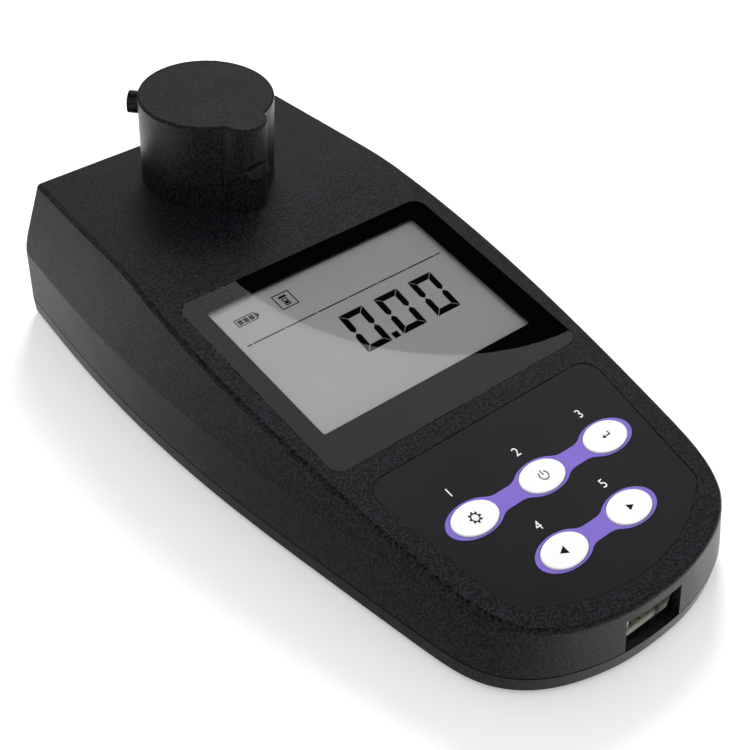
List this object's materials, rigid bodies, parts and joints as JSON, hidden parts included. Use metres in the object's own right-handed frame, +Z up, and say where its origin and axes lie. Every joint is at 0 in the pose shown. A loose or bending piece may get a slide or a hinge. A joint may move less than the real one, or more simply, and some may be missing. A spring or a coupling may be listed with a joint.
{
  "type": "turbidity meter",
  "caption": "Portable turbidity meter: wedge-shaped hand-held case with display window, oval keys, USB socket and a round light-shield cap over the sample well.",
  "frame": {"origin": "under the middle of the case, on the surface that its rubber feet stand on", "axes": "+Z up, +Y from the nose with the socket towards the cap, +X to the reader's right"},
  "size_m": [0.0902, 0.1687, 0.056],
  "materials": {
    "case_plastic": "moulded charcoal ABS with a fine spark texture",
    "cap_plastic": "moulded charcoal ABS with a fine spark texture",
    "seal_rubber": "black silicone rubber",
    "foot_rubber": "black rubber",
    "window_acrylic": "clear polished acrylic",
    "mask_ink": "black print",
    "lcd_glass": "grey reflective liquid crystal glass",
    "backlight_plastic": "white diffuser",
    "elastomer": "layered contact elastomer",
    "inner_plastic": "black ABS",
    "keypad_film": "printed charcoal polyester film",
    "bezel_plastic": "violet moulded plastic",
    "key_plastic": "white moulded keys with dark symbols",
    "switch_plastic": "black switch bodies",
    "circuit_board": "green solder mask",
    "screw_steel": "zinc plated steel",
    "chip_plastic": "black epoxy packages",
    "lamp_epoxy": "tinted clear epoxy",
    "lens_glass": "clear glass",
    "detector_plastic": "black infrared-passing epoxy",
    "vial_glass": "clear borosilicate glass",
    "vial_cap_plastic": "black phenolic",
    "foam": "black closed-cell foam",
    "cell_jacket": "printed steel jacket, plain",
    "contact_metal": "nickel plated spring steel",
    "socket_metal": "nickel plated steel shell",
    "socket_insulator": "white nylon",
    "gold_contact": "gold plated contacts"
  },
  "bodies": {
    "root": {"upper_shell": "case_plastic", "lower_shell": "case_plastic", "case_gasket": "seal_rubber", "display_window": "window_acrylic", "window_mask": "mask_ink", "lcd_glass": "lcd_glass", "backlight": "backlight_plastic", "zebra_strips": "elastomer", "lcd_frame": "inner_plastic", "keypad_overlay": "keypad_film", "upper_key_bezel": "bezel_plastic", "lower_key_bezel": "bezel_plastic", "key_switches": "switch_plastic", "main_board": "circuit_board", "board_screws": "screw_steel", "buzzer": "chip_plastic", "board_chips": "chip_plastic", "optical_block": "inner_plastic", "infrared_lamp": "lamp_epoxy", "beam_lens": "lens_glass", "lamp_board": "circuit_board", "transmission_detector": "detector_plastic", "transmission_board": "circuit_board", "scatter_detector": "detector_plastic", "scatter_board": "circuit_board", "well_gasket": "seal_rubber", "cells": "cell_jacket", "battery_contacts": "contact_metal", "usb_shell": "socket_metal", "usb_insulator": "socket_insulator", "usb_contacts": "gold_contact", "usb_board": "circuit_board", "case_screws": "screw_steel", "rubber_feet": "foot_rubber"},
    "cap": {"light_shield_cap": "cap_plastic", "cap_foam": "foam"},
    "vial": {"sample_vial": "vial_glass"},
    "vial_lid": {"vial_cap": "vial_cap_plastic"},
    "door": {"battery_door": "case_plastic"},
    "cal_key": {"cal_key": "key_plastic"},
    "measure_key": {"measure_key": "key_plastic"},
    "enter_key": {"enter_key": "key_plastic"},
    "left_key": {"left_key": "key_plastic"},
    "right_key": {"right_key": "key_plastic"}
  },
  "joints": [
    {"name": "cap_lift", "type": "slide", "parent": "root", "child": "cap", "axis": [0, 0, 1], "range_m": [0, 0.1]},
    {"name": "vial_lift", "type": "slide", "parent": "root", "child": "vial", "axis": [0, 0, 1], "range_m": [0, 0.05]},
    {"name": "vial_lid_lift", "type": "slide", "parent": "vial", "child": "vial_lid", "axis": [0, 0, 1], "range_m": [0, 0.02]},
    {"name": "battery_door_hinge", "type": "hinge", "parent": "root", "child": "door", "pos_m": [0, -0.0005, 0.0023], "axis": [-1, 0, 0], "range_deg": [0, 75]},
    {"name": "cal_key_press", "type": "slide", "parent": "root", "child": "cal_key", "axis": [0, 0.1478, -0.989], "range_m": [0, 0.0005], "stiffness_N_per_m": 1600, "springref_m": -0.0005},
    {"name": "measure_key_press", "type": "slide", "parent": "root", "child": "measure_key", "axis": [0, 0.1478, -0.989], "range_m": [0, 0.0005], "stiffness_N_per_m": 1600, "springref_m": -0.0005},
    {"name": "enter_key_press", "type": "slide", "parent": "root", "child": "enter_key", "axis": [0, 0.1478, -0.989], "range_m": [0, 0.0005], "stiffness_N_per_m": 1600, "springref_m": -0.0005},
    {"name": "left_key_press", "type": "slide", "parent": "root", "child": "left_key", "axis": [0, 0.1478, -0.989], "range_m": [0, 0.0005], "stiffness_N_per_m": 1600, "springref_m": -0.0005},
    {"name": "right_key_press", "type": "slide", "parent": "root", "child": "right_key", "axis": [0, 0.1478, -0.989], "range_m": [0, 0.0005], "stiffness_N_per_m": 1600, "springref_m": -0.0005}
  ],
  "couplings": [
    {"joint": "vial_lift", "follows": "cap_lift", "ratio": 0.5},
    {"joint": "vial_lid_lift", "follows": "cap_lift", "ratio": 0.2}
  ]
}
